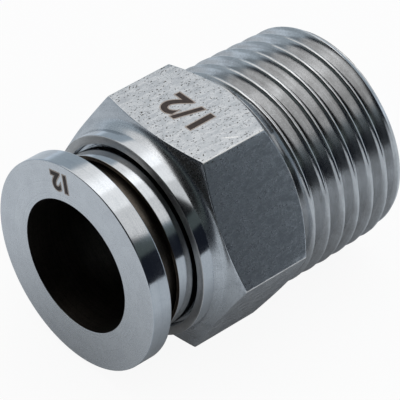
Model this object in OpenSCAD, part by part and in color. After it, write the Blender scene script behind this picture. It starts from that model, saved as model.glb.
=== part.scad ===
// Push-in tube fitting, male straight connector with a taper pipe thread.
// The axis lies along X, the tube enters at x = 0 and the thread ends at +X.
// The fitting lies on one flat of its hexagon, so +Z is the opposite flat.

/* [Tube] */
// Outside diameter of the tube that the fitting takes
tube_d = 12; // [11:0.1:12.4]
// Radial play of the tube in the release ring and in the socket
tube_play = 0.1; // [0.05:0.01:0.15]
// Depth from the ring's face to the shoulder that stops the tube
insertion_depth = 21.5; // [20:0.1:23]
// Diameter of the bore that the fluid flows through
flow_bore_d = 9.6; // [6:0.1:10]

/* [Release ring] */
// Diameter of the flange that is pressed with the fingers
flange_d = 20.1; // [18:0.1:22]
// Thickness of the flange
flange_t = 2.1; // [1.4:0.1:3]
// Edge break on the flange
flange_edge = 0.12; // [0.05:0.01:0.3]
// Width of the lead-in chamfer at the mouth
mouth_chamfer = 0.32; // [0.1:0.02:0.6]
// How far the ring travels inwards to let go of the tube
ring_travel = 2.3; // [1.5:0.1:2.6]
// Wall of the thin nose that opens the chuck
nose_wall = 0.55; // [0.4:0.05:0.7]
// Height of the barb that keeps the ring in the collet
barb_h = 0.25; // [0.15:0.05:0.35]
// Length of the barb along the axis
barb_l = 0.45; // [0.3:0.05:0.6]
// Number of slots that let the nose snap in
nose_slots = 4; // [3:1:6]
// Width of a nose slot
nose_slot_w = 1; // [0.6:0.1:1.4]

/* [Chuck] */
// Thickness of the chuck's sheet
chuck_t = 0.25; // [0.15:0.05:0.3]
// Length of the chuck's sleeve
chuck_l = 2.9; // [2.4:0.1:3.2]
// How far the teeth bite into the tube's radius
tooth_bite = 0.05; // [0.02:0.01:0.15]
// Number of teeth
teeth = 12; // [8:1:16]
// Width of the slot between two teeth
tooth_slot_w = 0.6; // [0.4:0.1:1]

/* [Collet] */
// Wall of the collet
collet_wall = 0.35; // [0.3:0.05:0.5]
// Length of the collet
collet_l = 3.5; // [3.4:0.1:3.8]
// Height of the heads over the collet's wall
head_h = 0.35; // [0.2:0.05:0.45]
// Length of the inner lip that the barb hooks behind
lip_l = 0.4; // [0.3:0.05:0.5]
// Number of slots that part the heads
head_slots = 8; // [6:1:10]
// Width of a slot between two heads
head_slot_w = 0.7; // [0.4:0.1:1]

/* [Guide bush] */
// Wall of the guide bush at its wide end
guide_wall = 0.4; // [0.3:0.05:0.6]
// How far the bush stands out of the body
guide_stand_out = 1.75; // [1:0.05:2]
// Width of the flat rim round the bush's mouth
guide_rim = 0.35; // [0.2:0.05:0.5]

/* [Seal] */
// Radial thickness of the seal
seal_t = 1.2; // [1:0.05:1.3]
// Length of the seal
seal_l = 3.4; // [3:0.1:3.6]
// Interference of the lip on the tube's radius
lip_squeeze = 0.15; // [0.05:0.01:0.25]

/* [Body] */
// Width of the hexagon across its flats
hex_af = 21; // [20.8:0.1:24]
// Length of a flat along its middle line
hex_l = 8.85; // [7:0.05:12]
// Wall of the collar round the recess at the mouth
collar_wall = 0.85; // [0.4:0.05:1.2]
// Length of the collar ahead of its fillet
collar_l = 1.15; // [0.8:0.05:3]
// Depth of the recess round the guide bush
recess_depth = 0.8; // [0.4:0.1:1.1]
// Radial width of the recess
recess_w = 0.32; // [0.1:0.01:0.5]
// Radius of the concave fillet between collar and hexagon
shoulder_fillet = 1.35; // [1:0.05:1.6]
// Slope of the shoulder from the plane across the axis, in degrees
shoulder_slope = 19.5; // [10:0.5:30]
// Slope of the chamfer behind the flats, in degrees
back_slope = 39; // [20:1:50]
// Edge break on the collar
collar_edge = 0.1; // [0.05:0.01:0.3]

/* [Thread] */
// Diameter over the crests at the thread's small end
thread_end_d = 20.44; // [20:0.01:20.6]
// How far the crests rise with the taper before the blank's surface cuts them off
thread_rise = 0.23; // [0.1:0.01:0.35]
// Pitch of the thread
pitch = 1.814; // [1.4:0.001:2.2]
// Length of the thread from the hexagon to the end face
thread_l = 12.9; // [11:0.1:16]
// Width of a crest's flat
crest_w = 0.25; // [0.15:0.01:0.4]
// Depth of the thread
thread_depth = 1.16; // [0.9:0.01:1.2]
// Width of the chamfer at the thread's end
end_chamfer = 0.55; // [0.3:0.05:1]
// Where the first crest stands, as an angle from the top, in degrees
thread_phase = 115; // [0:5:355]

/* [Hidden] */
$fn = 96;

steel = [0.66, 0.68, 0.70];
rubber = [0.10, 0.10, 0.11];

// Gaps between pieces that move or are fitted together
running_gap = 0.08;
seat_gap = 0.02;
rest_gap = 0.05;
shoulder_gap = 0.1;
stop_gap = 0.2;

// Short lengths inside the fitting
sleeve_reach = 0.2;
head_lead = 1.25;
head_ramp = 1.3;
chuck_lead = 0.15;
slot_lead = 0.6;
nose_reach = 0.35;
tooth_reach = 0.5;
tooth_edge = 0.08;
seal_lead = 0.35;
lip_flat = 0.4;
guide_edge = 0.06;
bore_break = 0.5;
over = 1;

// Radii, from the tube outwards
tube_r = tube_d / 2;
bore_r = tube_r + tube_play;
nose_r = bore_r + nose_wall;
barb_r = nose_r + barb_h;
lip_r = nose_r + running_gap;
chuck_in_r = barb_r + running_gap;
chuck_r = chuck_in_r + chuck_t;
collet_in_r = chuck_r + seat_gap;
collet_r = collet_in_r + collet_wall;
head_r = collet_r + head_h;
guide_in_r = collet_r + running_gap;
guide_wide_r = head_r + running_gap;
guide_r = guide_wide_r + guide_wall;
sleeve_r = guide_in_r - running_gap;
recess_r = guide_r + recess_w;
collar_r = recess_r + collar_wall;
seal_r = bore_r + seal_t;
hex_apothem = hex_af / 2;
hex_corner_r = hex_apothem / cos(30);

// Places along the axis, from the ring's face inwards
guide_x = flange_t + ring_travel + rest_gap;
mouth_x = guide_x + guide_stand_out;
sleeve_end_x = mouth_x + sleeve_reach;
collet_x = sleeve_end_x + ring_travel + stop_gap;
collet_end_x = collet_x + collet_l;
lip_end_x = collet_x + lip_l;
barb_x = lip_end_x + rest_gap;
chuck_x = barb_x + chuck_lead;
chuck_end_x = chuck_x + chuck_l;
taper_start_x = collet_x + head_lead;
taper_end_x = taper_start_x + head_ramp;
seat_x = chuck_end_x + chuck_t + shoulder_gap;
nose_end_x = chuck_end_x - ring_travel + nose_reach;
seal_x = seat_x + seal_lead;
socket_x = seal_x + seal_l + rest_gap;
fillet_x = mouth_x + collar_l;

// The shoulder: a fillet that starts at this angle and ends in the shoulder's slope
fillet_start = 9;
fillet_steps = 12;
fillet_end = 90 - shoulder_slope;
fillet_rise = shoulder_fillet * (cos(fillet_start) - cos(fillet_end));
fillet_run = shoulder_fillet * (sin(fillet_end) - sin(fillet_start));
blank_r = hex_corner_r + over;
face_x = fillet_x + fillet_run;
flat_x = face_x + (hex_apothem - collar_r - fillet_rise) * tan(shoulder_slope);
hex_back_x = flat_x + hex_l;
end_x = hex_back_x + thread_l;

// The thread: rows along one turn's profile, repeated turn after turn
turn_steps = 60;
lead_turns = 1.2;
runout_lead = 0.3;
runout_l = 0.9;
trim_l = 3;
crest_limit_r = thread_end_d / 2 + thread_rise;
taper = 1 / 32;
flank_w = thread_depth * tan(27.5);
root_blend = 0.86;
profile = [
    [-crest_w / 2, 0],
    [crest_w / 2, 0],
    [crest_w / 2 + root_blend * flank_w, root_blend],
    [pitch / 2, 1],
    [pitch - crest_w / 2 - root_blend * flank_w, root_blend]
];
rows_per_turn = len(profile);
thread_start_x = hex_back_x - lead_turns * pitch;
thread_turns = ceil((end_x - thread_start_x) / pitch) + 1;
runout_start_x = hex_back_x - runout_lead;

function clamp01(v) = max(0, min(1, v));
function crest_radius(x) = min(thread_end_d / 2 + (end_x - x) * taper, crest_limit_r);
function depth_share(x) = clamp01((x - runout_start_x) / runout_l);

// Row j of the thread's surface at step i round the axis
function row_x(i, j) =
    thread_start_x + floor(j / rows_per_turn) * pitch
    + profile[j % rows_per_turn][0] + pitch * i / turn_steps;
function row_point(i, j) =
    let (
        x = row_x(i, j),
        r = crest_radius(x) - thread_depth * depth_share(x) * profile[j % rows_per_turn][1],
        angle = thread_phase + 360 * i / turn_steps
    )
    [x, -r * sin(angle), r * cos(angle)];

// Turns a profile of [radius, x] points about the X axis
module turned() {
    rotate([0, 90, 0]) rotate_extrude() children();
}

// Cuts count slots of width w between two places on the axis, from radius r_in outwards
module radial_slots(count, w, x_from, x_to, r_in, r_out) {
    for (k = [0 : count - 1])
        rotate([360 * k / count, 0, 0])
            translate([x_from, -w / 2, r_in])
                cube([x_to - x_from, w, r_out - r_in]);
}

// The thread with its solid core, longer than needed at both ends
module thread_blank() {
    rows = thread_turns * rows_per_turn;
    columns = turn_steps;
    points = concat(
        [for (i = [0 : columns - 1], j = [0 : rows - 1 + rows_per_turn]) row_point(i, j)],
        [[thread_start_x, 0, 0], [row_x(0, rows), 0, 0]]
    );
    stride = rows + rows_per_turn;
    start_hub = columns * stride;
    end_hub = start_hub + 1;
    // One turn on, column 0 is met one profile later
    function at(i, j) = i < columns ? i * stride + j : j + rows_per_turn;
    walls = [
        for (i = [0 : columns - 1], j = [0 : rows - 2])
            each [
                [at(i, j), at(i, j + 1), at(i + 1, j + 1)],
                [at(i, j), at(i + 1, j + 1), at(i + 1, j)]
            ]
    ];
    start_fan = [for (i = [0 : columns - 1]) [start_hub, at(i, 0), at(i + 1, 0)]];
    start_step = [for (j = [0 : rows_per_turn - 1]) [start_hub, j + 1, j]];
    end_fan = [for (i = [0 : columns - 1]) [end_hub, at(i + 1, rows - 1), at(i, rows - 1)]];
    end_step = [for (j = [rows - 1 : rows + rows_per_turn - 2]) [end_hub, j, j + 1]];
    polyhedron(concat(points), concat(walls, start_fan, start_step, end_fan, end_step));
}

// Everything past the end face and outside its chamfer
module end_trim() {
    chamfer_r = thread_end_d / 2 - end_chamfer;
    turned() polygon([
        [0, end_x],
        [chamfer_r, end_x],
        [chamfer_r + trim_l, end_x - trim_l],
        [blank_r + over, end_x - trim_l],
        [blank_r + over, end_x + 2 * trim_l],
        [0, end_x + 2 * trim_l]
    ]);
}

// The turned blank that the hexagon is cut from, with its concave shoulder
module blank() {
    turned() polygon(concat(
        [[0, fillet_x]],
        [
            for (i = [0 : fillet_steps])
                let (a = fillet_start + (fillet_end - fillet_start) * i / fillet_steps)
                    [
                        collar_r + shoulder_fillet * (cos(fillet_start) - cos(a)),
                        fillet_x + shoulder_fillet * (sin(a) - sin(fillet_start))
                    ]
        ],
        [
            [blank_r, flat_x + (blank_r - hex_apothem) * tan(shoulder_slope)],
            [blank_r, hex_back_x - (blank_r - hex_apothem) * tan(back_slope)],
            [hex_apothem, hex_back_x],
            [crest_limit_r - thread_depth, hex_back_x],
            [0, hex_back_x]
        ]
    ));
}

// The hexagon's flats start behind the collar
module hexagon() {
    translate([fillet_x, 0, 0])
        rotate([0, 90, 0])
            rotate(30)
                linear_extrude(hex_back_x - fillet_x + over) circle(r = hex_corner_r, $fn = 6);
}

// The collar round the mouth
module collar() {
    turned() polygon([
        [0, mouth_x],
        [collar_r - collar_edge, mouth_x],
        [collar_r, mouth_x + collar_edge],
        [collar_r, fillet_x],
        [0, fillet_x]
    ]);
}

// The stepped bore: recess, guide seat, seal chamber, tube socket and flow bore
module stepped_bore() {
    flow_r = flow_bore_d / 2;
    turned() polygon([
        [0, mouth_x - over],
        [recess_r, mouth_x - over],
        [recess_r, mouth_x + recess_depth],
        [guide_r, mouth_x + recess_depth],
        [guide_r, seat_x],
        [seal_r, seat_x],
        [seal_r, socket_x],
        [bore_r, socket_x],
        [bore_r, insertion_depth],
        [flow_r, insertion_depth],
        [flow_r, end_x - bore_break],
        [flow_r + 2 * bore_break, end_x + bore_break],
        [0, end_x + bore_break]
    ]);
}

module body() {
    color(steel) difference() {
        union() {
            collar();
            intersection() {
                blank();
                hexagon();
            }
            difference() {
                thread_blank();
                end_trim();
            }
        }
        stepped_bore();
    }
}

module guide_bush() {
    rim_r = guide_r - guide_rim;
    color(steel) turned() polygon([
        [rim_r, guide_x],
        [guide_r - guide_edge, guide_x],
        [guide_r, guide_x + guide_edge],
        [guide_r, seat_x],
        [guide_wide_r, seat_x],
        [guide_wide_r, taper_end_x],
        [guide_in_r, taper_start_x],
        [guide_in_r, guide_x + (rim_r - guide_in_r)]
    ]);
}

module release_ring() {
    flange_r = flange_d / 2;
    color(steel) difference() {
        turned() polygon([
            [bore_r + mouth_chamfer, 0],
            [flange_r - flange_edge, 0],
            [flange_r, flange_edge],
            [flange_r, flange_t - flange_edge],
            [flange_r - flange_edge, flange_t],
            [sleeve_r, flange_t],
            [sleeve_r, sleeve_end_x],
            [nose_r, sleeve_end_x],
            [nose_r, barb_x],
            [barb_r, barb_x],
            [barb_r, barb_x + barb_l / 3],
            [nose_r, barb_x + barb_l],
            [nose_r, nose_end_x - nose_wall / 2],
            [nose_r - nose_wall / 2, nose_end_x],
            [bore_r, nose_end_x],
            [bore_r, mouth_chamfer]
        ]);
        radial_slots(
            nose_slots, nose_slot_w,
            sleeve_end_x + over, nose_end_x + over,
            bore_r - over, barb_r + over
        );
    }
}

module collet() {
    color(steel) difference() {
        turned() polygon([
            [lip_r, collet_x],
            [collet_r, collet_x],
            [collet_r, taper_start_x + running_gap],
            [head_r, taper_end_x + running_gap],
            [head_r, collet_end_x],
            [collet_in_r, collet_end_x],
            [collet_in_r, lip_end_x],
            [lip_r, lip_end_x]
        ]);
        radial_slots(
            head_slots, head_slot_w,
            lip_end_x + slot_lead, collet_end_x + over,
            lip_r - over, head_r + over
        );
    }
}

module chuck() {
    tooth_r = tube_r - tooth_bite;
    rim_x = chuck_end_x;
    color(steel) difference() {
        turned() polygon([
            [chuck_in_r, chuck_x],
            [chuck_r, chuck_x],
            [chuck_r, rim_x],
            [chuck_r + collet_wall, rim_x],
            [chuck_r + collet_wall, rim_x + chuck_t],
            [chuck_in_r, rim_x + chuck_t],
            [tooth_r + tooth_edge, rim_x + tooth_reach],
            [tooth_r, rim_x + tooth_reach - tooth_edge],
            [chuck_in_r, rim_x - chuck_t / 2]
        ]);
        radial_slots(
            teeth, tooth_slot_w,
            chuck_x + slot_lead, rim_x + 2 * over,
            tooth_r - over, chuck_r + over
        );
    }
}

module seal() {
    leg = seal_t / 4;
    groove_w = 0.4 * leg;
    color(rubber) turned() polygon([
        [bore_r + lip_flat / 2, seal_x],
        [seal_r, seal_x],
        [seal_r, seal_x + seal_l],
        [seal_r - leg, seal_x + seal_l],
        [seal_r - 2 * leg, seal_x + seal_l / 2],
        [seal_r - 2 * leg - groove_w, seal_x + seal_l / 2],
        [tube_r + lip_flat / 2, seal_x + seal_l - lip_flat / 2],
        [tube_r - lip_squeeze, seal_x + seal_l - lip_flat],
        [tube_r - lip_squeeze, seal_x + seal_l - 2 * lip_flat],
        [bore_r + rest_gap, seal_x + seal_l / 3],
        [bore_r + rest_gap, seal_x + lip_flat / 2]
    ]);
}

body();
guide_bush();
release_ring();
collet();
chuck();
seal();
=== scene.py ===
import math

import bmesh
import bpy
from mathutils import Matrix, Vector, noise


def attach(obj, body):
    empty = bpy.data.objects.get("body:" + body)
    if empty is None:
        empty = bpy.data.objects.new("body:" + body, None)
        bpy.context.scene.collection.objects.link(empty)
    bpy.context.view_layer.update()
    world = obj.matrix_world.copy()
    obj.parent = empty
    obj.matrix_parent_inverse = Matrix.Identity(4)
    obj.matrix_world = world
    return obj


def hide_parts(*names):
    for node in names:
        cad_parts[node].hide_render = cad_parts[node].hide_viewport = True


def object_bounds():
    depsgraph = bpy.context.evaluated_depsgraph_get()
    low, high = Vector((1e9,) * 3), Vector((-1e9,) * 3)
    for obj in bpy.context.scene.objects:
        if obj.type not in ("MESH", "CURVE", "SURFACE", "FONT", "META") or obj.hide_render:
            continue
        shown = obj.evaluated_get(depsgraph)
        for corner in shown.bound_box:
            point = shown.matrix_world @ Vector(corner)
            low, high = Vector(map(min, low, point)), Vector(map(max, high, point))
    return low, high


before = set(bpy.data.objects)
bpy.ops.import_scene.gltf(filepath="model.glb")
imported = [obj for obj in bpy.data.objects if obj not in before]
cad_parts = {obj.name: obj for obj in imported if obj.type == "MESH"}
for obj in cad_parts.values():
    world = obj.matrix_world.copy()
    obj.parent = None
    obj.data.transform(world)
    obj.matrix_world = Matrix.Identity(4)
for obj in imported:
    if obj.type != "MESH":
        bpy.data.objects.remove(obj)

mm = 0.001
mergeDistance = 1e-7  # metres
markRoom = 0.012  # mm: the marked faces lie this far inside the CAD's, so that a mark fits in between
halfSide = math.radians(30)  # half a side of the hexagon, seen from the axis
cadLow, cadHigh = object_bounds()


def linearColour(hexColour):
    # sRGB hex to the linear values that the shader wants
    parts = (int(hexColour[i:i + 2], 16) / 255 for i in (1, 3, 5))
    return [c / 12.92 if c <= 0.04045 else ((c + 0.055) / 1.055) ** 2.4 for c in parts] + [1.0]


def addNode(tree, kind, inputs=None, **settings):
    # one node with its settings; an input is a value or another node's output
    node = tree.nodes.new(kind)
    for name, value in settings.items():
        setattr(node, name, value)
    for name, value in (inputs or {}).items():
        if isinstance(value, bpy.types.NodeSocket):
            tree.links.new(value, node.inputs[name])
        else:
            node.inputs[name].default_value = value
    return node


def newMaterial(name):
    material = bpy.data.materials.new(name)
    material.use_nodes = True
    material.node_tree.nodes.clear()
    return material, material.node_tree


def mixed(tree, share, low, high):
    # colours are hex values or sockets; inputs 6 and 7 of a Mix node are its colours, output 2 the result
    low, high = (linearColour(c) if isinstance(c, str) else c for c in (low, high))
    return addNode(tree, "ShaderNodeMix", {0: share, 6: low, 7: high}, data_type="RGBA").outputs[2]


def ranged(tree, value, start, stop, low=0.0, high=1.0, **settings):
    # the stretch of value from start to stop becomes low to high
    return addNode(tree, "ShaderNodeMapRange", {"Value": value, "From Min": start, "From Max": stop,
                                                "To Min": low, "To Max": high}, **settings).outputs[0]


def maths(tree, operation, first, second=0.0, third=0.0):
    return addNode(tree, "ShaderNodeMath", {0: first, 1: second, 2: third}, operation=operation).outputs[0]


def vectorMaths(tree, operation, first, second=(0.0, 0.0, 0.0), result=0):
    return addNode(tree, "ShaderNodeVectorMath", {0: first, 1: second}, operation=operation).outputs[result]


def objectPlace(tree):
    return addNode(tree, "ShaderNodeTexCoord").outputs["Object"]


breakFaces = 3


def softened(corners, closed=False):
    # corners are (x, radius, break): each break becomes a small rounding of a few faces
    path = []
    count = len(corners)
    for i, (x, r, edge) in enumerate(corners):
        here = Vector((x, r))
        before = Vector(corners[i - 1][:2])
        after = Vector(corners[(i + 1) % count][:2])
        if edge == 0 or (not closed and i in (0, count - 1)):
            path.append(here)
            continue
        start = here + (before - here).normalized() * edge
        end = here + (after - here).normalized() * edge
        for step in range(breakFaces + 1):
            t = step / breakFaces
            path.append(start * (1 - t) ** 2 + here * 2 * t * (1 - t) + end * t ** 2)
    return path


sharpFrom = 34  # degrees between faces: a steeper edge is a sharp one


def finishMesh(bm, name, body, node, materials):
    # a piece without a node of its own, such as a mark, hides no CAD part
    bmesh.ops.recalc_face_normals(bm, faces=bm.faces[:])
    mesh = bpy.data.meshes.new(name)
    bm.to_mesh(mesh)
    bm.free()
    mesh.shade_smooth()
    mesh.set_sharp_from_angle(angle=math.radians(sharpFrom))
    piece = bpy.data.objects.new(name, mesh)
    bpy.context.scene.collection.objects.link(piece)
    for material in materials:
        mesh.materials.append(material)
    normals = piece.modifiers.new("evenNormals", "WEIGHTED_NORMAL")
    normals.keep_sharp = True
    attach(piece, body)
    if node:
        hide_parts(node)
    print("made", name, len(mesh.polygons), "faces")
    return piece


# Studio: a pale floor under a light tent, with a soft panel in its roof

studio = {
    "floorColour": "#d9dbdd",
    "floorInMetal": "#cdd6df",
    "floorGlow": 0.92,  # share of white that the camera sees in the floor
    "floorGlint": 0.08,  # the same for metal
    "contactShade": 0.45,  # painted contact shadow: metal sees the floor this much darker close to the object
    "contactMiddle": 0.014,  # metres along the axis
    "contactFrom": 0.012,
    "contactTo": 0.028,
    "skyLight": 0.75,
    "floorReach": 2.0,  # metres, half its side
    "boxSize": 1.3,
    "boxHeight": 1.0,
    "boxShift": (0.36, 0.08),
    "boxPower": 4.5,
}

tent = {
    "radius": 0.25,  # metres
    "segments": 96,
    "brightest": 2.0,
    # height as a share of the radius, and the wall's colour there, as a share of the brightest
    "wall": [(0.0, "#a5afb9"), (0.03, "#a5afb9"), (0.12, "#838d95"), (0.55, "#838d95")],
    "roofFrom": 0.52,
    "roofTo": 0.61,
    # place across the object as a share of the radius, and the roof's level there
    "roof": [(-0.24, 0.52), (-0.2, 0.71), (0.09, 0.71), (0.13, 0.97), (0.28, 0.97), (0.45, 0.66),
             (0.62, 0.58)],
    "openSide": (-0.742, -0.67, -0.03),  # here the tent is open on a dark room, and the camera looks in
    "openFrom": 0.0,
    "openTo": 0.07,
    "room": [(0.36, "#12151c"), (0.4, "#3d4444"), (0.54, "#3d4444"), (0.6, "#121213")],
}


def makeStudio():
    scene = bpy.context.scene
    scene.view_settings.view_transform = "Standard"

    world = bpy.data.worlds.new("studioWorld")
    scene.world = world
    world.use_nodes = True
    tree = world.node_tree
    tree.nodes.clear()
    rays = addNode(tree, "ShaderNodeLightPath").outputs
    seen = maths(tree, "MAXIMUM", rays["Is Camera Ray"], rays["Is Glossy Ray"])
    seen = maths(tree, "MAXIMUM", seen, rays["Is Transmission Ray"])
    strength = ranged(tree, seen, 0.0, 1.0, studio["skyLight"], 1.0)
    ground = addNode(tree, "ShaderNodeBackground", {"Color": linearColour("#ffffff"), "Strength": strength})
    addNode(tree, "ShaderNodeOutputWorld", {"Surface": ground.outputs[0]})

    floorZ = cadLow.z
    bm = bmesh.new()
    bmesh.ops.create_grid(bm, x_segments=1, y_segments=1, size=studio["floorReach"])
    bmesh.ops.translate(bm, verts=bm.verts[:], vec=(0, 0, floorZ))
    floor = stageObject(bm, "floor")
    material, tree = newMaterial("paintedFloor")
    rays = addNode(tree, "ShaderNodeLightPath").outputs
    glint = maths(tree, "MULTIPLY", rays["Is Glossy Ray"], studio["floorGlint"])
    share = maths(tree, "MULTIPLY_ADD", rays["Is Camera Ray"], studio["floorGlow"], glint)
    # painted contact shadow: for glossy rays the floor's colour darkens close to the object
    away = vectorMaths(tree, "DISTANCE", objectPlace(tree), (studio["contactMiddle"], 0.0, floorZ), "Value")
    close = ranged(tree, away, studio["contactTo"], studio["contactFrom"])
    dark = maths(tree, "MULTIPLY", close, rays["Is Glossy Ray"])
    shade = ranged(tree, dark, 0.0, 1.0, 1.0, 1 - studio["contactShade"])
    tint = mixed(tree, rays["Is Glossy Ray"], studio["floorColour"], studio["floorInMetal"])
    colour = mixed(tree, shade, "#000000", tint)
    paint = addNode(tree, "ShaderNodeBsdfDiffuse", {"Color": colour})
    glow = addNode(tree, "ShaderNodeEmission", {"Color": linearColour("#ffffff"), "Strength": 1.0})
    mix = addNode(tree, "ShaderNodeMixShader", {0: share, 1: paint.outputs[0], 2: glow.outputs[0]})
    addNode(tree, "ShaderNodeOutputMaterial", {"Surface": mix.outputs[0]})
    floor.data.materials.append(material)
    makeTent(floorZ)

    lamp = bpy.data.lights.new("softBox", "AREA")
    lamp.shape = "SQUARE"
    lamp.size = studio["boxSize"]
    lamp.energy = studio["boxPower"]
    box = bpy.data.objects.new("softBox", lamp)
    box.location = (*studio["boxShift"], studio["boxHeight"])
    box.visible_glossy = False  # metal sees the tent's panel instead
    scene.collection.objects.link(box)
    print("studio ready")


def makeTent(floorZ):
    # seen by metal alone: grey walls, a bright panel in the roof, and a side open on a dark room
    bm = bmesh.new()
    bmesh.ops.create_uvsphere(bm, u_segments=tent["segments"], v_segments=tent["segments"] // 2,
                              radius=tent["radius"])
    bmesh.ops.bisect_plane(bm, geom=bm.verts[:] + bm.edges[:] + bm.faces[:], plane_co=(0, 0, floorZ),
                           plane_no=(0, 0, 1), clear_inner=True)
    cloth = stageObject(bm, "lightTent")
    cloth.visible_camera = False
    cloth.visible_diffuse = False
    cloth.visible_shadow = False
    material, tree = newMaterial("tentCloth")
    aim = vectorMaths(tree, "NORMALIZE", objectPlace(tree))
    height, across = (addNode(tree, "ShaderNodeSeparateXYZ", {"Vector": aim}).outputs[k] for k in "ZY")

    def step(value, start, stop):
        return ranged(tree, value, start, stop, interpolation_type="SMOOTHSTEP")

    def ramp(value, stops):
        # places run from -1 to 1; a stop's value is a colour or a level
        colours = addNode(tree, "ShaderNodeValToRGB", {"Fac": ranged(tree, value, -1.0, 1.0)})
        bar = colours.color_ramp.elements
        while len(bar) < len(stops):
            bar.new(1.0)
        for stop, (place, level) in zip(bar, stops):
            stop.position = (place + 1) / 2
            stop.color = linearColour(level) if isinstance(level, str) else [level, level, level, 1.0]
        return colours.outputs["Color"]

    cloths = mixed(tree, step(height, tent["roofFrom"], tent["roofTo"]), ramp(height, tent["wall"]),
                   ramp(across, tent["roof"]))
    facing = vectorMaths(tree, "DOT_PRODUCT", aim, tent["openSide"], "Value")
    seen = mixed(tree, step(facing, tent["openFrom"], tent["openTo"]), cloths, ramp(height, tent["room"]))
    glow = addNode(tree, "ShaderNodeEmission", {"Color": seen, "Strength": tent["brightest"]})
    addNode(tree, "ShaderNodeOutputMaterial", {"Surface": glow.outputs[0]})
    cloth.data.materials.append(material)


def stageObject(bm, name):
    mesh = bpy.data.meshes.new(name)
    bm.to_mesh(mesh)
    bm.free()
    thing = bpy.data.objects.new(name, mesh)
    bpy.context.scene.collection.objects.link(thing)
    return thing


camera = {
    "azimuth": -44.278,
    "elevation": 39.623,
    "roll": 2.499,
    "target": (14.691, 0.068, -0.541),  # mm
    "distance": 292.2,  # mm
    "focalPixels": 3305.0,
    "picturePixels": 400,  # the width that the focal length is counted on
    "sensor": 36,  # mm
}


def makeCamera():
    azimuth, elevation, roll = (math.radians(camera[k]) for k in ("azimuth", "elevation", "roll"))
    back = Vector((math.sin(azimuth) * math.cos(elevation), -math.cos(azimuth) * math.cos(elevation),
                   math.sin(elevation)))
    level = Vector((math.cos(azimuth), math.sin(azimuth), 0))
    upright = back.cross(level)
    right = math.cos(roll) * level + math.sin(roll) * upright
    up = -math.sin(roll) * level + math.cos(roll) * upright
    lens = bpy.data.cameras.new("camera")
    lens.sensor_width = camera["sensor"]
    lens.lens = camera["focalPixels"] * camera["sensor"] / camera["picturePixels"]
    eye = bpy.data.objects.new("camera", lens)
    place = Vector(camera["target"]) * mm + back * camera["distance"] * mm
    turn = Matrix((right, up, back)).transposed().to_4x4()
    eye.matrix_world = Matrix.Translation(place) @ turn
    bpy.context.scene.collection.objects.link(eye)
    bpy.context.scene.camera = eye


# Stainless steel as the lathe, the drawing die and the threading tool leave it

# light and dark are the two tones of the skin, toolPitch the tool's rings in mm
steelValues = {
    # bright rounds that mirror the studio
    "turned": {"light": "#bfc2c5", "dark": "#b0b4b8", "roughness": 0.11, "toolPitch": 0.2, "bump": 0.05},
    # the ring's face, evenly matt
    "faced": {"light": "#d2d3d4", "dark": "#c5c6c8", "roughness": 0.26, "toolPitch": 0.16, "bump": 0.12},
    # the hollow shoulder, streaked by the tool
    "shoulder": {"light": "#c6c8ca", "dark": "#acafb2", "roughness": 0.25, "toolPitch": 0.26, "bump": 0.2},
    # clean cut flanks, which keep their dark and bright bands
    "thread": {"light": "#cacbcc", "dark": "#aeaeae", "roughness": 0.17, "toolPitch": 0.3, "bump": 0.02},
    # the bush's front rim, in darker brownish tones
    "guide": {"light": "#b3aaa1", "dark": "#8e857d", "roughness": 0.2, "toolPitch": 0.15, "bump": 0.08},
    # hidden, plain
    "collet": {"light": "#b9bbbd", "dark": "#9fa2a5", "roughness": 0.2, "toolPitch": 0.18, "bump": 0.08},
    # rougher, so that the bush mirrors grey in it and not black
    "collarFront": {"light": "#c6c4c2", "dark": "#aeacaa", "roughness": 0.42, "toolPitch": 0.2,
                    "bump": 0.15},
    # painted highlight: the hexagon's edges get a light, half-matt skin that shows as a light line
    "edgeHighlight": {"light": "#dcdcda", "dark": "#c2c2c0", "roughness": 0.5, "toolPitch": 0.2, "bump": 0.3,
             "metallic": 0.45},
    # painted shade: a dark brownish skin stands in for the shade in the gap behind the flange
    "sleeve": {"light": "#6a635c", "dark": "#4c4640", "roughness": 0.38, "toolPitch": 0.15, "bump": 0.15},
}

latheValues = {
    "haze": (1.6, 1.6, 1.6),  # mm
    "grain": (0.12, 0.12, 0.12),
    "blend": (1.2, 1.8),  # three noises added up stay between these
    "duller": 0.05,  # roughness where the skin is dark
    "glossier": 0.03,
    "depth": 0.01,
}


def stretched(tree, where, lengths, **settings):
    # noise whose grains have these lengths along X, Y and Z, in mm
    scaled = addNode(tree, "ShaderNodeMapping", {"Vector": where, "Scale": [1 / (n * mm) for n in lengths]})
    return addNode(tree, "ShaderNodeTexNoise", {"Vector": scaled.outputs[0], "Scale": 1.0,
                                                **settings}).outputs[0]


def skinShader(tree, colour, rough, height, bump, depth, metallic=1.0):
    # what all skins here share: a colour, a gloss and a relief of so many mm
    relief = addNode(tree, "ShaderNodeBump", {"Height": height, "Strength": bump, "Distance": depth * mm})
    return addNode(tree, "ShaderNodeBsdfPrincipled", {"Base Color": colour, "Metallic": metallic,
                                                      "Roughness": rough,
                                                      "Normal": relief.outputs[0]}).outputs[0]


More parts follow.
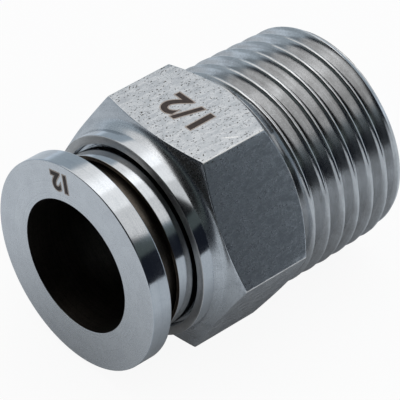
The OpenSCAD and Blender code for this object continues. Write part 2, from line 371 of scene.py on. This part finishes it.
def latheSteel(name, values):
    # rings left by the tool, a faint haze and small changes of gloss
    material, tree = newMaterial(name)
    v = latheValues
    where = objectPlace(tree)
    parts = addNode(tree, "ShaderNodeSeparateXYZ", {"Vector": where}).outputs
    radius = vectorMaths(tree, "LENGTH", addNode(tree, "ShaderNodeCombineXYZ", {
        "Y": parts["Y"], "Z": parts["Z"]}).outputs[0], result="Value")
    rings = addNode(tree, "ShaderNodeCombineXYZ", {"X": parts["X"], "Y": radius})
    tool = addNode(tree, "ShaderNodeTexNoise", {"Vector": rings.outputs[0], "Detail": 3.0, "Roughness": 0.6,
                                                "Scale": 1 / (values["toolPitch"] * mm)}).outputs[0]
    haze = stretched(tree, where, v["haze"], Detail=4.0, Roughness=0.6)
    grain = stretched(tree, where, v["grain"], Detail=2.0)
    blend = maths(tree, "ADD", maths(tree, "ADD", tool, haze), grain)
    colour = mixed(tree, ranged(tree, blend, *v["blend"]), values["dark"], values["light"])
    rough = ranged(tree, blend, *v["blend"], values["roughness"] + v["duller"],
                   values["roughness"] - v["glossier"])
    skin = skinShader(tree, colour, rough, maths(tree, "ADD", tool, grain), values["bump"], v["depth"],
                      values.get("metallic", 1.0))
    addNode(tree, "ShaderNodeOutputMaterial", {"Surface": skin})
    return material


drawnValues = {
    "light": "#bfc1c3",
    "dark": "#84878b",
    "darkOnLitTop": "#acafb2",  # painted light: the top flat, lit from above, gets a lighter dark tone, so it reads lighter and evener
    "topFrom": 9.6,  # mm: the top flat's share of a place rises over these heights
    "topTo": 10.3,
    "mottle": (1.5, 0.7, 0.7),  # mm, drawn out along the bar
    "waves": (0.9, 0.32, 0.32),
    "grain": (0.14, 0.1, 0.1),
    "blend": (1.2, 1.8),  # three noises added up stay between these
    "contrast": (1.35, 1.65),  # and this part of them runs from the dark to the light tone
    "pit": "#49443f",
    "pitLengths": (0.19, 0.13, 0.13),
    "pitNoise": (0.69, 0.75),
    "pitsBelow": 0.2,  # share of the pits left on the flats under the top one
    "pitRelief": -1.0,
    "waveRelief": 5.0,
    "roughness": 0.27,
    "duller": 0.1,
    "glossier": 0.05,
    "bump": 0.25,
    "depth": 0.012,
}

scratchValues = {
    "colour": "#f4f4f2",
    "start": (12.32, -4.53, 10.5),  # mm
    "stop": (13.76, -5.48, 10.5),
    "width": 0.09,
    "solid": 2 / 3,  # share of its length before it fades
}


def scratchShare(tree, where):
    # 1 along the middle of a short straight scratch, 0 away from it
    v = scratchValues
    start, stop = (Vector(v[k]) * mm for k in ("start", "stop"))
    along = (stop - start).normalized()
    half = (stop - start).length / 2
    offset = vectorMaths(tree, "SUBTRACT", where, (start + stop) / 2)
    reach = maths(tree, "ABSOLUTE", vectorMaths(tree, "DOT_PRODUCT", offset, along, "Value"))
    aside = vectorMaths(tree, "LENGTH", vectorMaths(tree, "CROSS_PRODUCT", offset, along), result="Value")
    return maths(tree, "MULTIPLY", ranged(tree, reach, half, half * v["solid"]),
                 ranged(tree, aside, v["width"] * mm, 0.0))


def drawnSteel():
    # the bar's own skin on the flats: dull, mottled along the bar, with small drawn-out pits
    material, tree = newMaterial("drawnStainlessBar")
    v = drawnValues
    where = objectPlace(tree)
    mottle = stretched(tree, where, v["mottle"], Detail=4.0, Roughness=0.65)
    waves = stretched(tree, where, v["waves"], Detail=3.0, Roughness=0.6)
    grain = stretched(tree, where, v["grain"], Detail=2.0, Roughness=0.6)
    height = addNode(tree, "ShaderNodeSeparateXYZ", {"Vector": where}).outputs["Z"]
    top = ranged(tree, height, v["topFrom"] * mm, v["topTo"] * mm, v["pitsBelow"], 1.0)
    pit = ranged(tree, stretched(tree, where, v["pitLengths"], Detail=0.0), *v["pitNoise"])
    pit = maths(tree, "MULTIPLY", pit, top)
    blend = maths(tree, "ADD", maths(tree, "ADD", mottle, waves), grain)
    # painted light: the flats' dark tone turns lighter on the top flat, as if lit from above
    dark = mixed(tree, top, v["dark"], v["darkOnLitTop"])
    tone = mixed(tree, ranged(tree, blend, *v["contrast"]), dark, v["light"])
    colour = mixed(tree, pit, tone, v["pit"])
    rough = ranged(tree, blend, *v["blend"], v["roughness"] + v["duller"], v["roughness"] - v["glossier"])
    relief = maths(tree, "MULTIPLY_ADD", pit, v["pitRelief"], grain)
    relief = maths(tree, "MULTIPLY_ADD", waves, v["waveRelief"], relief)
    steel = skinShader(tree, colour, rough, relief, v["bump"], v["depth"])
    torn = addNode(tree, "ShaderNodeBsdfDiffuse", {"Color": linearColour(scratchValues["colour"])})
    skin = addNode(tree, "ShaderNodeMixShader", {0: scratchShare(tree, where), 1: steel,
                                                 2: torn.outputs[0]})
    addNode(tree, "ShaderNodeOutputMaterial", {"Surface": skin.outputs[0]})
    return material


def cloudedSkin(name, values):
    # one noise gives such a skin its tones, its gloss and its relief
    material, tree = newMaterial(name)
    cloud = stretched(tree, objectPlace(tree), values["lengths"], Detail=values["detail"],
                      Roughness=values["fineness"])
    share = ranged(tree, cloud, *values["contrast"])
    skin = skinShader(tree, mixed(tree, share, values["dark"], values["light"]),
                      ranged(tree, cloud, 0.0, 1.0, *values["roughness"]), cloud, values["bump"],
                      values["depth"], values["metallic"])
    addNode(tree, "ShaderNodeOutputMaterial", {"Surface": skin})
    return material


# moulded black rubber, matt with a faint bloom
rubberValues = {
    "light": "#26272a",
    "dark": "#17181a",
    "lengths": (0.8, 0.8, 0.8),  # mm
    "detail": 4.0,
    "fineness": 0.7,
    "contrast": (0.0, 1.0),
    "roughness": (0.42, 0.62),
    "bump": 0.2,
    "depth": 0.02,  # mm
    "metallic": 0.0,
}

# stamped spring strip of the chuck: a greyish skin with fine rolling lines across the teeth
springValues = {
    "light": "#a4a09a",
    "dark": "#7f7b76",
    "lengths": (0.08, 1.2, 1.2),
    "detail": 3.0,
    "fineness": 0.6,
    "contrast": (0.0, 1.0),
    "roughness": (0.35, 0.22),
    "bump": 0.15,
    "depth": 0.008,
    "metallic": 1.0,
}


spinSteps = 240


def spunPiece(name, outline, body, node, materials, finish, shape=None):
    # a closed outline of (x, radius, break) in mm, spun a full turn round the X axis
    bm = bmesh.new()
    rim = [bm.verts.new((p[0] * mm, 0, p[1] * mm)) for p in softened(outline, closed=True)]
    edges = [bm.edges.new((rim[i - 1], rim[i])) for i in range(len(rim))]
    bmesh.ops.spin(bm, geom=rim + edges, axis=(1, 0, 0), cent=(0, 0, 0), angle=math.tau, steps=spinSteps,
                   use_merge=True)
    bmesh.ops.remove_doubles(bm, verts=bm.verts[:], dist=mergeDistance)
    if shape:
        shape(bm)
    for face in bm.faces:
        face.material_index = finish(face.calc_center_median() / mm)
    print(name, "open edges", sum(1 for e in bm.edges if len(e.link_faces) != 2))
    return finishMesh(bm, name, body, node, materials)


ringSizes = {
    "face": markRoom,
    "boreRadius": 6.1,
    "mouthRise": 0.3,
    "mouthLength": 4.5,
    "flangeRadius": 10.05,
    "flangeLength": 2.1,
    "sleeveRadius": 7.6,
    "sleeveEnd": 6.4,
    "noseRadius": 6.65,
    "noseEnd": 10.45,
    "barbRadius": 6.9,
    "barbStart": 9.35,
    "barbTop": 0.15,
    "barbLength": 0.45,
    "edgeBreak": 0.12,
    "noseBreak": 0.1,
    "leadBreak": 0.1,
    "sleeveBreak": 0.05,
    "fineBreak": 0.03,
    "slots": 4,
    "slotSteps": 6,  # a slot's width in steps of the spin, 1 mm
    "seam": 0.01,  # faces this near to a plane belong to it
}


def cutNoseSlots(bm):
    # four slots let the nose snap in: faces go, then each slot gets two walls and a floor
    s = ringSizes
    share = spinSteps / s["slots"]

    def stepOf(point):
        return math.atan2(-point.y, point.z) / math.tau * spinSteps

    def inSlot(face):
        centre = face.calc_center_median()
        off = (stepOf(centre) + share / 2) % share - share / 2
        return centre.x > (s["sleeveEnd"] + s["seam"]) * mm and abs(off) < s["slotSteps"] / 2

    bmesh.ops.delete(bm, geom=[f for f in bm.faces if inSlot(f)], context="FACES")
    walls, floors = {}, {}
    for edge in [e for e in bm.edges if len(e.link_faces) == 1]:
        a, b = (round(stepOf(v.co)) % spinSteps for v in edge.verts)
        if a == b:
            walls.setdefault(a, []).append(edge)
        else:
            floors.setdefault(frozenset((a, b)), []).append(edge)
    for edges in walls.values():
        ends = [v for e in edges for v in e.verts]
        chain = [next(v for v in ends if ends.count(v) == 1)]
        while edges:
            edge = next(e for e in edges if chain[-1] in e.verts)
            edges.remove(edge)
            chain.append(edge.other_vert(chain[-1]))
        bm.faces.new(chain)
    for outer, inner in floors.values():
        first, second = outer.verts
        facing = sorted(inner.verts, key=lambda v: (v.co - second.co).length)
        bm.faces.new((first, second, *facing))


def makeReleaseRing(materials):
    s = ringSizes
    outline = [
        (s["face"], s["boreRadius"] + s["mouthRise"], s["fineBreak"]),
        (s["face"], s["flangeRadius"], s["edgeBreak"]),
        (s["flangeLength"], s["flangeRadius"], s["edgeBreak"]),
        (s["flangeLength"], s["sleeveRadius"], s["sleeveBreak"]),
        (s["sleeveEnd"], s["sleeveRadius"], s["sleeveBreak"]),
        (s["sleeveEnd"], s["noseRadius"], 0),
        (s["barbStart"], s["noseRadius"], 0),
        (s["barbStart"], s["barbRadius"], 0),
        (s["barbStart"] + s["barbTop"], s["barbRadius"], 0),
        (s["barbStart"] + s["barbLength"], s["noseRadius"], 0),
        (s["noseEnd"], s["noseRadius"], s["noseBreak"]),
        (s["noseEnd"], s["boreRadius"], s["fineBreak"]),
        (s["sleeveEnd"], s["boreRadius"], 0),
        (s["mouthLength"], s["boreRadius"], s["leadBreak"]),
    ]

    def finish(centre):  # 0 turned, 1 the face that the fingers press, 2 the sleeve behind the flange, painted dark for the shade in the gap
        if centre.x < s["face"] + s["seam"]:
            return 1
        return 2 if centre.x > s["flangeLength"] - s["seam"] else 0

    return spunPiece("release_ring_turned", outline, "release_ring", "release_ring",
                     materials, finish, cutNoseSlots)


guideSizes = {
    "outerRadius": 8.43,
    "wideRadius": 8.03,
    "narrowRadius": 7.68,
    "front": 4.45,
    "rim": 0.35,
    "taperStart": 10.15,
    "taperEnd": 11.45,
    "back": 12.75,
    "rimBreak": 0.06,
    "mouthBreak": 0.04,
    "taperBreak": 0.05,
    "fineBreak": 0.03,
    "seam": 0.03,  # faces this near to the front are its rim
}


def makeGuideBush(materials):
    s = guideSizes
    rimRadius = s["outerRadius"] - s["rim"]
    outline = [
        (s["front"], rimRadius, s["mouthBreak"]),
        (s["front"], s["outerRadius"], s["rimBreak"]),
        (s["back"], s["outerRadius"], s["fineBreak"]),
        (s["back"], s["wideRadius"], s["fineBreak"]),
        (s["taperEnd"], s["wideRadius"], 0),
        (s["taperStart"], s["narrowRadius"], 0),
        (s["front"] + rimRadius - s["narrowRadius"], s["narrowRadius"], s["taperBreak"]),
    ]

    def finish(centre):  # 0 turned, 1 the brownish front rim
        return 1 if centre.x < s["front"] + s["seam"] else 0

    return spunPiece("guide_bush_turned", outline, "fitting_body", "guide_bush", materials,
                     finish)


bodySizes = {
    "mouth": 6.2,
    "collarRadius": 9.64,
    "collarEdge": 0.04,
    "collarFall": 0.07,
    "recessRadius": 8.75,
    "recessDepth": 0.8,
    "guideRadius": guideSizes["outerRadius"],
    "guideEnd": guideSizes["back"],
    "sealRadius": 7.3,
    "sealEnd": 16.55,
    "socketRadius": 6.1,
    "socketEnd": 21.5,
    "flowRadius": 4.8,
    "boreBreak": 0.5,
    "filletStart": 7.35,
    "filletRadius": 1.22,
    "filletFrom": 9.0,  # degrees
    "filletSteps": 12,
    "collarFlat": 0.05,
    "shoulderSlope": 19.5,  # degrees from the plane across the axis
    "backSlope": 39.0,
    "apothem": 10.5 - markRoom,
    "flatLength": 8.934,
    "cornerRadius": 0.2,
    "flatEdge": 0.09,
    "threadLength": 12.9,
    "threadEndRadius": 10.22,
    "threadRise": 0.25,
    "pitch": 1.814,
    "taper": 1 / 32,
    "crestWidth": 0.25,
    "crestArc": [(0, 0), (0.45, 0.06), (0.85, 0.24), (1.224, 0.55)],  # out and down, in half crests
    "threadDepth": 1.16,
    "flankAngle": 27.5,
    "rootRadius": 0.26,
    "flankSteps": 4,
    "rootSteps": 4,
    "endChamfer": 0.55,
    "endSlope": 0.44,
    "endRing": 8.95,  # inside the thread's root, so that the end face stays flat
    "threadPhase": 115.0,
    "crestShift": 1.2,  # pitches from the hexagon's back to the crest on top, before the phase
    "hiddenTurns": 2,  # turns that start inside the hexagon
    "spareTurns": 5,
    "runoutLead": 0.3,
    "runoutLength": 0.9,
    "burr": 0.03,
    "burrLength": 0.7,
    "burrDepth": 0.1,
    "columnsOnFlat": 30,
    "columnsOnCorner": 4,
    "coneRows": (0.33, 0.66),  # shares of the shoulder's straight part and of the flat's length
    "flatRows": (0.25, 0.5, 0.75),
    "fineBreak": 0.03,
    "rimBreak": 0.05,
    "boreEdge": 0.06,
    "recessBreak": 0.08,
    "backBreak": 0.081,
    "backDrop": 0.04,  # the hexagon's back starts this much below the flat
    "breakLimit": 0.3,  # a break takes no more than this share of the edge before it
    # how near a face lies to its surface, in mm, to get that surface's finish
    "flatWithin": 0.012,
    "cornerWithin": 0.08,
    "backWithin": 0.15,
    "backDepth": 0.07,
    "seam": 0.02,
    "threadInside": 8.9,
}


def bodyColumns():
    # angles round the axis from the top flat, with the reach to the hexagon's side at each
    s = bodySizes
    apothem, corner = s["apothem"], s["cornerRadius"]
    centre = (apothem - corner) / math.cos(halfSide)
    edgeHalf = centre * math.sin(halfSide)
    columns = []
    for side in range(6):
        middle = 2 * halfSide * side
        for i in range(s["columnsOnFlat"] + 1):
            across = -edgeHalf + 2 * edgeHalf * i / s["columnsOnFlat"]
            columns.append((middle + math.atan2(across, apothem), math.hypot(across, apothem)))
        for i in range(1, s["columnsOnCorner"]):
            lean = halfSide * (2 * i / s["columnsOnCorner"] - 1)
            out = centre + corner * math.cos(lean)
            across = corner * math.sin(lean)
            columns.append((middle + halfSide + math.atan2(across, out), math.hypot(across, out)))
    first = columns[0]
    columns.append((first[0] + math.tau, first[1]))
    return columns


def threadProfile():
    # one pitch as (distance along the axis from the crest's middle, depth), crest to crest
    s = bodySizes
    lean = math.radians(s["flankAngle"])
    half = s["crestWidth"] / 2
    rootHalf = s["rootRadius"] * math.cos(lean)
    rootLift = s["rootRadius"] * (1 - math.sin(lean))
    depth = s["threadDepth"]
    side = [(half * out, half * down) for out, down in s["crestArc"]]
    flankStart = side[-1]
    flankEnd = (s["pitch"] / 2 - rootHalf, depth - rootLift)
    for i in range(1, s["flankSteps"]):
        t = i / s["flankSteps"]
        side.append((flankStart[0] * (1 - t) + flankEnd[0] * t, flankStart[1] * (1 - t) + flankEnd[1] * t))
    for i in range(s["rootSteps"] + 1):
        turn = (math.pi / 2 - lean) * (1 - i / s["rootSteps"])
        side.append((s["pitch"] / 2 - s["rootRadius"] * math.sin(turn),
                     depth - s["rootRadius"] * (1 - math.cos(turn))))
    mirrored = [(s["pitch"] - along, down) for along, down in reversed(side[1:-1])]
    return side + mirrored


def depthAt(profile, along):
    pitch = bodySizes["pitch"]
    along %= pitch
    points = profile + [(pitch, 0)]
    for (a, da), (b, db) in zip(points, points[1:]):
        if a <= along <= b and a < b:
            return da + (db - da) * (along - a) / (b - a)
    return 0


def makeBody(materials):
    s = bodySizes
    slope = math.tan(math.radians(s["shoulderSlope"]))
    backSlope = math.tan(math.radians(s["backSlope"]))
    start, stop = math.radians(s["filletFrom"]), math.radians(90 - s["shoulderSlope"])
    rise = s["filletRadius"] * (math.cos(start) - math.cos(stop))
    run = s["filletRadius"] * (math.sin(stop) - math.sin(start))
    faceX, faceR = s["filletStart"] + run, s["collarRadius"] + rise
    hexBack = faceX + (s["apothem"] - faceR) * slope + s["flatLength"]
    endX = hexBack + s["threadLength"]
    profile = threadProfile()
    turns = math.ceil(s["threadLength"] / s["pitch"]) + s["spareTurns"]
    wormStart = hexBack - s["hiddenTurns"] * s["pitch"]

    def crestRadius(x):
        return min(s["threadEndRadius"] + (endX - x) * s["taper"], s["threadEndRadius"] + s["threadRise"])

    def threadRadius(x, angle, depth):
        share = min(1, max(0, (x - hexBack + s["runoutLead"]) / s["runoutLength"]))
        chamfer = s["threadEndRadius"] - s["endChamfer"] + (endX - x) * s["endSlope"]
        spot = Vector((x, -crestRadius(x) * math.sin(angle), crestRadius(x) * math.cos(angle)))
        burr = s["burr"] * noise.noise(spot / s["burrLength"]) * (1 - min(1, depth / s["burrDepth"]))
        return min(crestRadius(x) - depth * share + burr, chamfer, s["apothem"])  # never past the flats

    crestAtTop = hexBack - (s["crestShift"] + s["threadPhase"] / 360) * s["pitch"]

    def section(angle, reach):
        path = softened([
            (s["guideEnd"], s["guideRadius"], 0),
            (s["mouth"] + s["recessDepth"], s["guideRadius"], s["fineBreak"]),
            (s["mouth"] + s["recessDepth"], s["recessRadius"], s["recessBreak"]),
            (s["mouth"], s["recessRadius"], s["rimBreak"]),
            (s["mouth"], s["collarRadius"] - s["collarFall"] - s["collarEdge"], s["rimBreak"]),
            (s["mouth"] + s["collarEdge"], s["collarRadius"] - s["collarFall"], s["recessBreak"]),
            (s["filletStart"] - s["collarFlat"], s["collarRadius"], 0),
        ])
        for i in range(s["filletSteps"] + 1):
            a = start + (stop - start) * i / s["filletSteps"]
            path.append(Vector((s["filletStart"] + s["filletRadius"] * (math.sin(a) - math.sin(start)),
                                s["collarRadius"] + s["filletRadius"] * (math.cos(start) - math.cos(a)))))
        edgeX = faceX + (reach - faceR) * slope
        backX = hexBack - (reach - s["apothem"]) * backSlope
        cone = path[-1]
        edge = Vector((edgeX, reach))
        path += [cone.lerp(edge, t) for t in s["coneRows"]]
        path += softened([
            (*cone, 0),
            (*edge, min(s["flatEdge"], s["breakLimit"] * (edge - cone).length)),
            *((edgeX + (backX - edgeX) * t, reach, 0) for t in s["flatRows"]),
            (backX, reach, s["backBreak"]),
            (hexBack, s["apothem"] - s["backDrop"], 0),
            (hexBack, s["apothem"] - s["flatEdge"], 0),
        ])[1:]
        worm = crestAtTop + s["pitch"] * angle / math.tau
        worm += s["pitch"] * math.floor((wormStart - crestAtTop) / s["pitch"])
        for turn in range(turns):
            for along, depth in profile:
                x = worm + turn * s["pitch"] + along
                if x < hexBack:
                    x = hexBack
                    depth = depthAt(profile, x - worm)
                elif x > endX:
                    x = endX
                    depth = depthAt(profile, x - worm)
                path.append(Vector((x, threadRadius(x, angle, depth))))
        path += softened([
            (endX, path[-1].y, 0),
            (endX, s["endRing"], 0),
            (endX, s["flowRadius"] + s["boreBreak"], s["boreEdge"]),
            (endX - s["boreBreak"], s["flowRadius"], s["boreEdge"]),
            (s["socketEnd"], s["flowRadius"], s["fineBreak"]),
            (s["socketEnd"], s["socketRadius"], s["fineBreak"]),
            (s["sealEnd"], s["socketRadius"], s["fineBreak"]),
            (s["sealEnd"], s["sealRadius"], s["fineBreak"]),
            (s["guideEnd"], s["sealRadius"], s["fineBreak"]),
            (s["guideEnd"], s["guideRadius"], 0),
        ])[1:]
        return path

    def finish(centre):
        # 0 turned, 1 the bar's flats, 2 thread, 3 edges with a painted highlight, 4 shoulder, 5 the
        # collar's front
        radius = math.hypot(centre.y, centre.z)
        around = math.atan2(-centre.y, centre.z)
        off = (around + halfSide) % (2 * halfSide) - halfSide
        outward = radius * math.cos(off)
        if s["filletStart"] < centre.x < hexBack - s["seam"]:
            if outward > s["apothem"] - s["flatWithin"]:
                return 1
            onCorner = radius > s["apothem"] / math.cos(halfSide) - s["cornerWithin"]
            onBack = centre.x > hexBack - s["backWithin"] and outward > s["apothem"] - s["backDepth"]
            return 3 if onCorner or onBack else 4
        if hexBack + s["seam"] < centre.x < endX - s["seam"] and radius > s["threadInside"]:
            return 2
        return 5 if centre.x < s["mouth"] + s["seam"] / 2 and radius > s["recessRadius"] else 0

    columns = bodyColumns()
    sections = [section(angle, reach) for angle, reach in columns]
    rowCount = len(sections[0])
    bm = bmesh.new()
    bmesh.ops.create_grid(bm, x_segments=rowCount - 1, y_segments=len(columns) - 1, size=0.5)
    for vert in bm.verts:
        row = round((vert.co.x + 0.5) * (rowCount - 1))
        column = round((vert.co.y + 0.5) * (len(columns) - 1))
        x, radius = sections[column][row]
        angle = columns[column][0]
        vert.co = Vector((x, -radius * math.sin(angle), radius * math.cos(angle))) * mm
    bmesh.ops.remove_doubles(bm, verts=bm.verts[:], dist=2 * mergeDistance)
    bmesh.ops.dissolve_degenerate(bm, edges=bm.edges[:], dist=mergeDistance)
    for face in bm.faces:
        face.material_index = finish(face.calc_center_median() / mm)
    openEdges = sum(1 for e in bm.edges if len(e.link_faces) != 2)
    print("body open or doubled edges", openEdges, "sections", {len(p) for p in sections})
    return finishMesh(bm, "body_machined", "fitting_body", "body", materials)


# steel that a laser has burnt brown, uneven along the strokes
burntValues = {
    "light": "#3b2d26",
    "dark": "#261c18",
    "lengths": (0.25, 0.25, 0.25),
    "detail": 3.0,
    "fineness": 0.7,
    "contrast": (0.4, 0.65),
    "roughness": (0.45, 0.65),
    "bump": 0.3,
    "depth": 0.01,
    "metallic": 0.35,
}

markValues = {
    "halo": "#9a9089",
    "lift": 0.008,  # mm over the steel
    "haloLift": 0.004,
    "haloWidth": 0.2,
    "stroke": 0.085,
    "figureShare": 0.7,  # the font's figures are this much of its size
    "spacing": 1.05,
    "ringText": "12",
    "ringHeight": 1.65,
    "ringPlace": (8.35, -14.0),  # radius in mm and angle in degrees of the middle
    "flatText": "1/2",
    "flatHeight": 2.75,
    "flatPlace": (12.7, -0.15),  # along the axis and across it, in mm
}


def makeMark(name, text, height, swell, place, body, material):
    # plain figures, made a mesh first and then laid on the steel
    letters = bpy.data.curves.new(name, "FONT")
    letters.body = text
    letters.align_x = "CENTER"
    letters.align_y = "CENTER"
    letters.size = height * mm / markValues["figureShare"]
    letters.offset = swell * mm
    letters.extrude = markValues["haloLift"] * mm / 2
    letters.space_character = markValues["spacing"]
    sketch = bpy.data.objects.new(name + "Sketch", letters)
    bpy.context.scene.collection.objects.link(sketch)
    bpy.context.view_layer.update()
    mesh = bpy.data.meshes.new_from_object(sketch)
    bpy.data.objects.remove(sketch)
    bpy.data.curves.remove(letters)
    bm = bmesh.new()
    bm.from_mesh(mesh)
    bpy.data.meshes.remove(mesh)
    bmesh.ops.remove_doubles(bm, verts=bm.verts[:], dist=mergeDistance)
    bmesh.ops.transform(bm, matrix=place, verts=bm.verts[:])
    return finishMesh(bm, name, body, None, [material])


def makeMarks():
    v = markValues
    burnt = cloudedSkin("burntMark", burntValues)
    halo = cloudedSkin("burntHalo", {**burntValues, "light": v["halo"], "dark": v["halo"]})
    radius, angle = v["ringPlace"]
    around = math.radians(angle)
    outwards = Vector((0, -math.sin(around), math.cos(around)))
    along = Vector((0, math.cos(around), math.sin(around)))
    facing = Vector((-1, 0, 0))
    ringTurn = Matrix((along, -outwards, facing)).transposed().to_4x4()
    flatTurn = Matrix(((0, 1, 0), (-1, 0, 0), (0, 0, 1))).transposed().to_4x4()
    for suffix, swell, lift, material in (("halo", v["haloWidth"], v["haloLift"], halo),
                                          ("figures", v["stroke"], v["lift"], burnt)):
        spot = outwards * radius * mm + facing * (lift - ringSizes["face"]) * mm
        makeMark("ring_size_" + suffix, v["ringText"], v["ringHeight"], swell,
                 Matrix.Translation(spot) @ ringTurn, "release_ring", material)
        spot = Vector((*v["flatPlace"], bodySizes["apothem"] + lift)) * mm
        makeMark("flat_size_" + suffix, v["flatText"], v["flatHeight"], swell,
                 Matrix.Translation(spot) @ flatTurn, "fitting_body", material)


makeCamera()
makeStudio()
steel = {name: latheSteel(name + "Stainless", values) for name, values in steelValues.items()}
makeReleaseRing([steel["turned"], steel["faced"], steel["sleeve"]])
makeGuideBush([steel["turned"], steel["guide"]])
makeBody([steel["turned"], drawnSteel(), steel["thread"], steel["edgeHighlight"], steel["shoulder"],
          steel["collarFront"]])
makeMarks()

hidden = {"collet": steel["collet"], "chuck": cloudedSkin("springStrip", springValues),
          "seal": cloudedSkin("fluorocarbonRubber", rubberValues)}
for name, material in hidden.items():
    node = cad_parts[name]
    node.data.materials.clear()
    node.data.materials.append(material)
print("dressed the hidden pieces")
